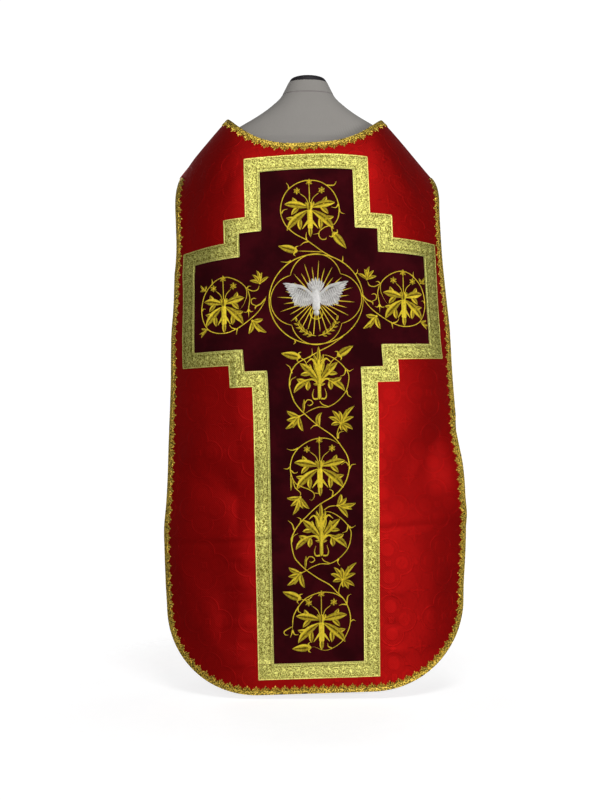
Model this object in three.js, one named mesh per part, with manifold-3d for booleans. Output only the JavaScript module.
// Roman chasuble on a limbless dress form.
//
// Millimetres, +Z up. The origin is the middle of the stand's underside. The back of the
// garment, which carries the cross, faces -Y, and the front faces +Y.
//
// Each panel is one curved sheet. A place on it is (s, z): s is the distance along the cloth
// from the centre line, and z is the height. Every flat piece of cloth or braid is that sheet,
// moved out by its own distance and cut to its own outline as seen from the front.

import * as THREE from "three";
import Module from "manifold-3d";
import { mergeVertices } from "three/addons/utils/BufferGeometryUtils.js";

const wasm = await Module();
wasm.setup();

// ---------------------------------------------------------------- driving sizes

const SEAM = 0.3; // gap between two sewn pieces
const CLOTH = 2.0; // red silk damask with its interlining
const VELVET = 1.0;
const GALLOON = 1.4; // thickness of the gold galloon
const BRAID = 1.2; // thickness of the scalloped edge braid
const BRAID_WIDTH = 18.5;
const NECK_BRAID_WIDTH = 19;

// The shoulder ridge, seen from the front: level over the neck, then a straight slope.
const RIDGE = { top: 1213.4, slope: 1.215, bend: 150, softness: 20 };
const KNEE = 890; // below this height the cloth hangs straight
const SHOULDER_POWER = 2.4; // how squarely the cloth turns over the shoulder
const NECK_HALF_WIDTH = 163;

// depth: how far the centre line stands from the shoulder plane
// radius: how tightly the sides of the panel turn away from its flat middle
const BACK = {
  side: -1,
  flatHalf: 110,
  girthHalf: 350,
  lowest: -20,
  form: [
    { z: -20, depth: 165, radius: 350 },
    { z: 330, depth: 160, radius: 345 },
    { z: 600, depth: 155, radius: 275 },
    { z: 820, depth: 151, radius: 232 },
    { z: 1300, depth: 150, radius: 231 },
  ],
  outline: [
    { z: 188, half: 303 },
    { z: 229, half: 305 },
    { z: 311, half: 309 },
    { z: 352, half: 309 },
    { z: 394, half: 305.5 },
    { z: 475, half: 300 },
    { z: 557, half: 294.5 },
    { z: 640, half: 290 },
    { z: 735, half: 287.5 },
    { z: 806, half: 281.6 },
    { z: 889, half: 275.4 },
    { z: 973, half: 273.6 },
    { z: 1018, half: 275.6 },
    { z: 1042, half: 274.4 },
    { z: 1066, half: 268.6 },
    { z: 1090, half: 258 },
  ],
  corner: { x: 112, z: 188, height: 176, power: 2.08 },
  neck: { low: 1124.5, power: 3 },
};

const FRONT = {
  side: 1,
  flatHalf: 60,
  girthHalf: 330,
  lowest: 30,
  form: [
    { z: 30, depth: 150, radius: 360 },
    { z: 400, depth: 146, radius: 350 },
    { z: 700, depth: 142, radius: 310 },
    { z: 900, depth: 141, radius: 300 },
    { z: 1300, depth: 140, radius: 300 },
  ],
  outline: [
    { z: 215, half: 284 },
    { z: 260, half: 283 },
    { z: 340, half: 276 },
    { z: 440, half: 262 },
    { z: 540, half: 244 },
    { z: 640, half: 223 },
    { z: 740, half: 206 },
    { z: 820, half: 199 },
    { z: 880, half: 201 },
    { z: 940, half: 215 },
    { z: 990, half: 240 },
    { z: 1030, half: 261 },
    { z: 1066, half: 268.6 },
    { z: 1090, half: 258 },
  ],
  corner: { x: 115, z: 215, height: 145, power: 2.1 },
  neck: { low: 1052, power: 2.2 },
};

// The stepped cross on the back, in the flat.
const CROSS = {
  galloon: 32,
  columnHalf: { low: 122, high: 126 }, // the column narrows a little towards the hem
  stepHalf: 171,
  armHalf: { low: 277, high: 272 }, // the ends lean in a little, as the panel's edges do
  bottom: 42,
  lowerStep: 630,
  barBottom: 675,
  barTop: 929,
  upperStep: 977,
  top: 1099,
};
// The cross is sewn on a little to the right of the middle, by this much at each height.
const CROSS_ASIDE = [
  { z: 42, aside: 6 },
  { z: 300, aside: 5 },
  { z: 540, aside: 7 },
  { z: 640, aside: 6 },
  { z: 720, aside: 2 },
  { z: 929, aside: 1 },
  { z: 1099, aside: 0 },
];
// The weave sinks towards the sides, by this much for each squared millimetre of s.
const DROOP = [
  { z: 500, fall: 0 },
  { z: 675, fall: 0.3e-4 },
  { z: 929, fall: 2.9e-4 },
  { z: 977, fall: 3.4e-4 },
  { z: 1099, fall: 5.0e-4 },
];

// The garment hangs a little askew. At each height it sways sideways by one distance and rises
// towards +X by a lean, which curls back down towards the shoulder ends.
const HANG = [
  { z: 12, sway: 17, lean: 0.032, curl: 0 },
  { z: 330, sway: 13.5, lean: 0.04, curl: 0 },
  { z: 700, sway: 6, lean: 0.04, curl: 0 },
  { z: 950, sway: -1, lean: 0.04, curl: 0.2e-4 },
  { z: 1090, sway: -5, lean: 0.05, curl: 2.4e-4 },
  { z: 1190, sway: -7, lean: 0.02, curl: 1.6e-4 },
];

// The dress form: rounded level sections, from the underside to the top of the neck.
const TORSO = [
  { z: 500, half: 140, depth: 84 },
  { z: 508, half: 160, depth: 100 },
  { z: 530, half: 169, depth: 107 },
  { z: 580, half: 168, depth: 108 },
  { z: 640, half: 156, depth: 102 },
  { z: 710, half: 140, depth: 92 },
  { z: 780, half: 135, depth: 89 },
  { z: 860, half: 148, depth: 98 },
  { z: 940, half: 165, depth: 107 },
  { z: 1010, half: 180, depth: 110 },
  { z: 1070, half: 196, depth: 106 },
  { z: 1100, half: 204, depth: 99 },
  { z: 1123, half: 205, depth: 92 },
  { z: 1136, half: 201, depth: 84 },
  { z: 1147, half: 192, depth: 72 },
  { z: 1161, half: 172, depth: 66 },
  { z: 1180, half: 141, depth: 63 },
  { z: 1195, half: 115, depth: 60 },
  { z: 1206, half: 98, depth: 57 },
  { z: 1217, half: 83, depth: 54 },
  { z: 1237, half: 60.5, depth: 49 },
  { z: 1256, half: 49.5, depth: 45 },
  { z: 1271, half: 42, depth: 40 },
];
const TORSO_POWER = 2.3;
const NECK_CAP = { z: 1271.3, radius: 38.5, height: 14, edge: 3 };
const POLE = { radius: 14, into: 90, clearance: 0.3 };
const BASE = { halfWidth: 150, halfDepth: 92, corner: 55, height: 12, edge: 2 };

const COLOURS = {
  damask: { color: 0x8e0d0c, roughness: 0.45, metalness: 0 },
  velvet: { color: 0x2c0710, roughness: 0.95, metalness: 0 },
  gold: { color: 0xb7a04a, roughness: 0.35, metalness: 0.8 },
  jersey: { color: 0x9a9790, roughness: 0.9, metalness: 0 },
  black: { color: 0x26222a, roughness: 0.6, metalness: 0 },
  steel: { color: 0x8d9096, roughness: 0.35, metalness: 0.9 },
};

// ---------------------------------------------------------------- tables and curves

// A named column of a table at height z, on a smooth curve through its rows.
function valueAt(rows, column, z) {
  const last = rows.length - 1;
  if (z <= rows[0].z) return rows[0][column];
  if (z >= rows[last].z) return rows[last][column];
  const i = rows.findIndex((row) => row.z > z) - 1;
  const slope = (k) => {
    const below = rows[Math.max(k - 1, 0)];
    const above = rows[Math.min(k + 1, last)];
    return (above[column] - below[column]) / (above.z - below.z);
  };
  const span = rows[i + 1].z - rows[i].z;
  const t = (z - rows[i].z) / span;
  return (
    rows[i][column] * (2 * t ** 3 - 3 * t ** 2 + 1) +
    rows[i + 1][column] * (3 * t ** 2 - 2 * t ** 3) +
    span * slope(i) * (t ** 3 - 2 * t ** 2 + t) +
    span * slope(i + 1) * (t ** 3 - t ** 2)
  );
}

function spread(from, to, steps) {
  return Array.from({ length: steps + 1 }, (_, i) => from + ((to - from) * i) / steps);
}

function mirrored(rightHalf) {
  return [...rightHalf, ...rightHalf.map(([x, z]) => [-x, z]).reverse()];
}

// ---------------------------------------------------------------- the curved sheet

function ridgeHeight(x) {
  const past = Math.abs(x) - RIDGE.bend;
  return RIDGE.top - (RIDGE.slope * (past + Math.hypot(past, RIDGE.softness))) / 2;
}

// From the cloth's own s to the front view's x, and how far the cloth has turned away there.
function planAt(panel, s, z) {
  const radius = valueAt(panel.form, "radius", z);
  const turn = Math.max(Math.abs(s) - panel.flatHalf, 0) / radius;
  const flat = Math.min(Math.abs(s), panel.flatHalf);
  return {
    x: Math.sign(s) * (flat + radius * Math.sin(turn)),
    setBack: radius * (1 - Math.cos(turn)),
  };
}

function flatFromView(panel, x, z) {
  const radius = valueAt(panel.form, "radius", z);
  const past = Math.max(Math.abs(x) - panel.flatHalf, 0);
  const flat = Math.min(Math.abs(x), panel.flatHalf);
  return Math.sign(x) * (flat + radius * Math.asin(Math.min(past / radius, 1)));
}

// v runs from 0 at the lowest row to 1 at the knee and 2 on the shoulder ridge.
function sheetPoint(panel, s, v) {
  const hanging = Math.min(v, 1);
  const turned = (Math.PI / 2) * Math.min(2 - v, 1);
  const straightZ = panel.lowest + (KNEE - panel.lowest) * hanging;
  const { x, setBack } = planAt(panel, s, v < 1 ? straightZ : KNEE);
  const rise = (ridgeHeight(x) - KNEE) * Math.cos(turned) ** (2 / SHOULDER_POWER);
  const z = v < 1 ? straightZ : KNEE + rise;
  const depth = (valueAt(panel.form, "depth", z) - setBack) * Math.sin(turned);
  return new THREE.Vector3(x, panel.side * depth, z);
}

function sheetNormal(panel, s, v) {
  const step = 0.01;
  const across = sheetPoint(panel, s + 1, v).sub(sheetPoint(panel, s - 1, v));
  const up = sheetPoint(panel, s, Math.min(v + step, 2)).sub(
    sheetPoint(panel, s, Math.max(v - step, 0)),
  );
  const normal = across.cross(up).multiplyScalar(-panel.side);
  if (v === 2) normal.y = 0;
  return normal.normalize();
}

// A closed wall between two distances from the sheet.
function wall(panel, from, to) {
  const curved = panel.girthHalf - panel.flatHalf;
  const half = [
    ...spread(0, panel.flatHalf, 2),
    ...spread(panel.flatHalf, panel.flatHalf + curved, 8).slice(1),
  ];
  const columns = [...half.slice(1).map((s) => -s).reverse(), ...half];
  const rows = [...spread(0, 1, 7), ...spread(1, 2, 10).slice(1)];
  const across = columns.length;
  const layers = [to, from].map((distance) =>
    rows.flatMap((v) =>
      columns.map((s) => {
        const p = sheetPoint(panel, s, v);
        p.addScaledVector(sheetNormal(panel, s, v), distance);
        if (v === 2) p.y = (panel.side * SEAM) / 2;
        return p;
      }),
    ),
  );
  const vertices = layers.flat().flatMap((p) => p.toArray());
  const count = rows.length * across;
  const faces = [];
  const quad = (a, b, c, d) =>
    panel.side < 0 ? faces.push(a, b, c, a, c, d) : faces.push(a, c, b, a, d, c);
  for (let j = 0; j + 1 < rows.length; j++)
    for (let i = 0; i + 1 < across; i++) {
      const a = j * across + i;
      quad(a, a + 1, a + 1 + across, a + across);
      quad(count + a, count + a + across, count + a + 1 + across, count + a + 1);
    }
  const rim = [
    ...columns.map((_, i) => i),
    ...rows.slice(1).map((_, j) => (j + 2) * across - 1),
    ...columns.slice(1).map((_, i) => count - 2 - i),
    ...rows.slice(2).map((_, j) => (rows.length - 2 - j) * across),
  ];
  rim.forEach((a, k) => {
    const b = rim[(k + 1) % rim.length];
    quad(count + a, count + b, b, a);
  });
  return new wasm.Manifold(
    new wasm.Mesh({
      numProp: 3,
      vertProperties: new Float32Array(vertices),
      triVerts: new Uint32Array(faces),
    }),
  );
}

// ---------------------------------------------------------------- outlines

// A prism along Y over an outline of [x, z] places, on the panel's side of the shoulders.
function prism(panel, outline) {
  const reach = 400;
  const shape = new THREE.Shape(outline.map(([x, z]) => new THREE.Vector2(x, z)));
  const geometry = new THREE.ExtrudeGeometry(shape, { depth: reach, bevelEnabled: false });
  geometry.rotateX(Math.PI / 2);
  if (panel.side > 0) geometry.translate(0, reach, 0);
  return solid(geometry);
}

function solid(geometry) {
  geometry.deleteAttribute("normal");
  geometry.deleteAttribute("uv");
  const merged = mergeVertices(geometry, 1e-3);
  return new wasm.Manifold(
    new wasm.Mesh({
      numProp: 3,
      vertProperties: new Float32Array(merged.attributes.position.array),
      triVerts: new Uint32Array(merged.index.array),
    }),
  );
}

// The right half of a panel's cut edge, from above the shoulder down to the middle of the hem.
function sideEdge(panel) {
  const { outline, corner } = panel;
  const top = outline[outline.length - 1];
  const steps = 20;
  const side = spread(top.z, corner.z, steps).map((z) => [valueAt(outline, "half", z), z]);
  const width = outline[0].half - corner.x;
  const turned = spread(0, Math.PI / 2, 9)
    .slice(1)
    .map((angle) => [
      corner.x + width * Math.cos(angle) ** (2 / corner.power),
      corner.z - corner.height * Math.sin(angle) ** (2 / corner.power),
    ]);
  return [[top.half, RIDGE.top + 30], ...side, ...turned];
}

// The right half of a panel's neckline, from its middle up past the shoulder.
function neckEdge(panel) {
  const peak = ridgeHeight(NECK_HALF_WIDTH);
  const rise = peak - panel.neck.low;
  const curve = spread(0, NECK_HALF_WIDTH, 9).map((x) => [
    x,
    panel.neck.low + rise * (x / NECK_HALF_WIDTH) ** panel.neck.power,
  ]);
  return [...curve, [NECK_HALF_WIDTH + 1, RIDGE.top + 30]];
}

// Moves a path sideways in the flat by a distance, to its right as it runs.
function shifted(path, distance) {
  return path.map(([x, z], i) => {
    const [ax, az] = path[Math.max(i - 1, 0)];
    const [bx, bz] = path[Math.min(i + 1, path.length - 1)];
    const length = Math.hypot(bx - ax, bz - az);
    return [x + (distance * (bz - az)) / length, z - (distance * (bx - ax)) / length];
  });
}

function toFlat(panel, path) {
  return path.map(([x, z]) => [flatFromView(panel, x, z), z]);
}

function toView(panel, path) {
  return path.map(([s, z]) => [planAt(panel, s, z).x, z]);
}

function panelOutline(panel) {
  const side = sideEdge(panel);
  const neck = neckEdge(panel);
  const left = (path) => path.map(([x, z]) => [-x, z]);
  return [...side, ...left(side).reverse(), ...left(neck).reverse(), ...neck.slice(1)];
}

function edgeBraidOutline(panel) {
  const outer = mirrored(toFlat(panel, sideEdge(panel)));
  const inner = shifted(outer, BRAID_WIDTH);
  return toView(panel, [...outer, ...inner.reverse()]);
}

function neckBraidOutline(panel) {
  const neck = neckEdge(panel);
  const upper = [...neck.slice(1).map(([x, z]) => [-x, z]).reverse(), ...neck];
  const lower = shifted(upper, NECK_BRAID_WIDTH);
  return [...upper, ...lower.reverse()];
}

// The cross's outline, drawn in by a distance all round.
function crossOutline(inset) {
  const column = CROSS.columnHalf;
  const step = CROSS.stepHalf - inset;
  const arm = CROSS.armHalf;
  const corners = mirrored([
    [column.low - inset, CROSS.bottom + inset],
    [column.high - inset, CROSS.lowerStep + inset],
    [step, CROSS.lowerStep + inset],
    [step, CROSS.barBottom + inset],
    [arm.low - inset, CROSS.barBottom + inset],
    [arm.high - inset, CROSS.barTop - inset],
    [step, CROSS.barTop - inset],
    [step, CROSS.upperStep - inset],
    [column.high - inset, CROSS.upperStep - inset],
    [column.high - inset, CROSS.top - inset],
  ]);
  return corners.flatMap(([s, z], i) => {
    const [nextS, nextZ] = corners[(i + 1) % corners.length];
    const pieces = Math.ceil(Math.hypot(nextS - s, nextZ - z) / 60);
    return spread(0, 1, pieces)
      .slice(0, -1)
      .map((t) => onCross(s + (nextS - s) * t, z + (nextZ - z) * t));
  });
}

// A place on the cross, counted from its own middle, as it is seen from the front.
function onCross(fromMiddle, z) {
  const s = fromMiddle + valueAt(CROSS_ASIDE, "aside", z);
  const height = z - valueAt(DROOP, "fall", z) * s * s;
  return [planAt(BACK, s, height).x, height];
}

// ---------------------------------------------------------------- the garment

// Takes a piece from its even shape to the way it hangs.
function hung(shape) {
  return shape.warp((p) => {
    const [x, , z] = p;
    p[0] = x + valueAt(HANG, "sway", z);
    p[2] = z + x * (valueAt(HANG, "lean", z) - valueAt(HANG, "curl", z) * Math.abs(x));
  });
}

function panelSolid(panel) {
  return wall(panel, -CLOTH, 0).intersect(prism(panel, panelOutline(panel)));
}

function edgeBraid(panel) {
  const strip = wall(panel, SEAM, SEAM + BRAID);
  return strip
    .intersect(prism(panel, edgeBraidOutline(panel)))
    .intersect(prism(panel, panelOutline(panel)));
}

function neckBraid(panel) {
  return wall(panel, SEAM, SEAM + BRAID).intersect(prism(panel, neckBraidOutline(panel)));
}

function crossVelvet() {
  const outline = crossOutline(CROSS.galloon + SEAM);
  return wall(BACK, SEAM, SEAM + VELVET).intersect(prism(BACK, outline));
}

// One length of galloon runs round the cross, and its two ends meet above the lower left corner.
function crossGalloon() {
  const outer = -CROSS.columnHalf.low;
  const inner = outer + CROSS.galloon;
  const meeting = CROSS.bottom + CROSS.galloon;
  const slit = [
    [outer - 1, meeting],
    [inner + 1, meeting],
    [inner + 1, meeting + SEAM],
    [outer - 1, meeting + SEAM],
  ].map(([s, z]) => onCross(s, z));
  return wall(BACK, SEAM, SEAM + GALLOON)
    .intersect(prism(BACK, crossOutline(0)))
    .subtract(prism(BACK, crossOutline(CROSS.galloon)))
    .subtract(prism(BACK, slit));
}

// ---------------------------------------------------------------- the dress form

// A closed body through rounded level sections.
function loft(sections, power, around) {
  const vertices = [];
  const faces = [];
  const bow = (value) => Math.sign(value) * Math.abs(value) ** (2 / power);
  for (const { z, half, depth } of sections)
    for (let i = 0; i < around; i++) {
      const angle = (2 * Math.PI * i) / around;
      vertices.push(half * bow(Math.cos(angle)), depth * bow(Math.sin(angle)), z);
    }
  const centre = sections.length * around;
  vertices.push(0, 0, sections[0].z, 0, 0, sections[sections.length - 1].z);
  for (let i = 0; i < around; i++) {
    const next = (i + 1) % around;
    for (let j = 0; j + 1 < sections.length; j++) {
      const low = j * around;
      const high = low + around;
      faces.push(low + i, low + next, high + next, low + i, high + next, high + i);
    }
    const rim = centre - around;
    faces.push(centre, next, i, centre + 1, rim + i, rim + next);
  }
  return new wasm.Manifold(
    new wasm.Mesh({
      numProp: 3,
      vertProperties: new Float32Array(vertices),
      triVerts: new Uint32Array(faces),
    }),
  );
}

function torso() {
  const bore = new THREE.CylinderGeometry(
    POLE.radius + POLE.clearance,
    POLE.radius + POLE.clearance,
    2 * (POLE.into + POLE.clearance),
    24,
  );
  bore.rotateX(Math.PI / 2).translate(0, 0, TORSO[0].z);
  return loft(TORSO, TORSO_POWER, 32).subtract(solid(bore));
}

function neckCap() {
  const { z, radius, height, edge } = NECK_CAP;
  const profile = [
    [0, 0],
    [radius - 1, 0],
    [radius, 1],
    [radius, height - edge],
    [radius - edge, height],
    [0, height],
  ].map(([r, y]) => new THREE.Vector2(r, y));
  return new THREE.LatheGeometry(profile, 32).rotateX(Math.PI / 2).translate(0, 0, z);
}

function pole() {
  const foot = BASE.height + POLE.clearance;
  const length = TORSO[0].z + POLE.into - foot;
  return new THREE.CylinderGeometry(POLE.radius, POLE.radius, length, 24)
    .rotateX(Math.PI / 2)
    .translate(0, 0, foot + length / 2);
}

function base() {
  const { halfWidth, halfDepth, corner, height, edge } = BASE;
  const w = halfWidth - edge;
  const d = halfDepth - edge;
  const shape = new THREE.Shape();
  shape.absarc(w - corner, d - corner, corner, 0, Math.PI / 2);
  shape.absarc(corner - w, d - corner, corner, Math.PI / 2, Math.PI);
  shape.absarc(corner - w, corner - d, corner, Math.PI, 1.5 * Math.PI);
  shape.absarc(w - corner, corner - d, corner, 1.5 * Math.PI, 2 * Math.PI);
  return new THREE.ExtrudeGeometry(shape, {
    depth: height - 2 * edge,
    bevelThickness: edge,
    bevelSize: edge,
    bevelSegments: 1,
    curveSegments: 8,
  }).translate(0, 0, edge);
}

// ---------------------------------------------------------------- the scene graph

function geometryOf(shape) {
  if (shape.isBufferGeometry) return shape;
  const { vertProperties, triVerts } = shape.getMesh();
  const geometry = new THREE.BufferGeometry();
  geometry.setAttribute("position", new THREE.BufferAttribute(vertProperties, 3));
  geometry.setIndex(new THREE.BufferAttribute(triVerts, 1));
  geometry.computeVertexNormals();
  return geometry;
}

function piece(name, colour, shape) {
  const mesh = new THREE.Mesh(
    geometryOf(shape),
    new THREE.MeshStandardMaterial(COLOURS[colour]),
  );
  mesh.name = name;
  return mesh;
}

const garment = new THREE.Group();
garment.add(
  piece("back_panel", "damask", hung(panelSolid(BACK))),
  piece("front_panel", "damask", hung(panelSolid(FRONT))),
  piece("back_cross_velvet", "velvet", hung(crossVelvet())),
  piece("back_cross_galloon", "gold", hung(crossGalloon())),
  piece("back_edge_braid", "gold", hung(edgeBraid(BACK))),
  piece("front_edge_braid", "gold", hung(edgeBraid(FRONT))),
  piece("back_neck_braid", "gold", hung(neckBraid(BACK))),
  piece("front_neck_braid", "gold", hung(neckBraid(FRONT))),
);

const dressForm = new THREE.Group();
dressForm.add(
  piece("form_torso", "jersey", torso()),
  piece("form_neck_cap", "black", neckCap()),
  piece("form_pole", "steel", pole()),
  piece("form_base", "black", base()),
);

const chasubleOnForm = new THREE.Group();
chasubleOnForm.add(garment, dressForm);

export default chasubleOnForm;
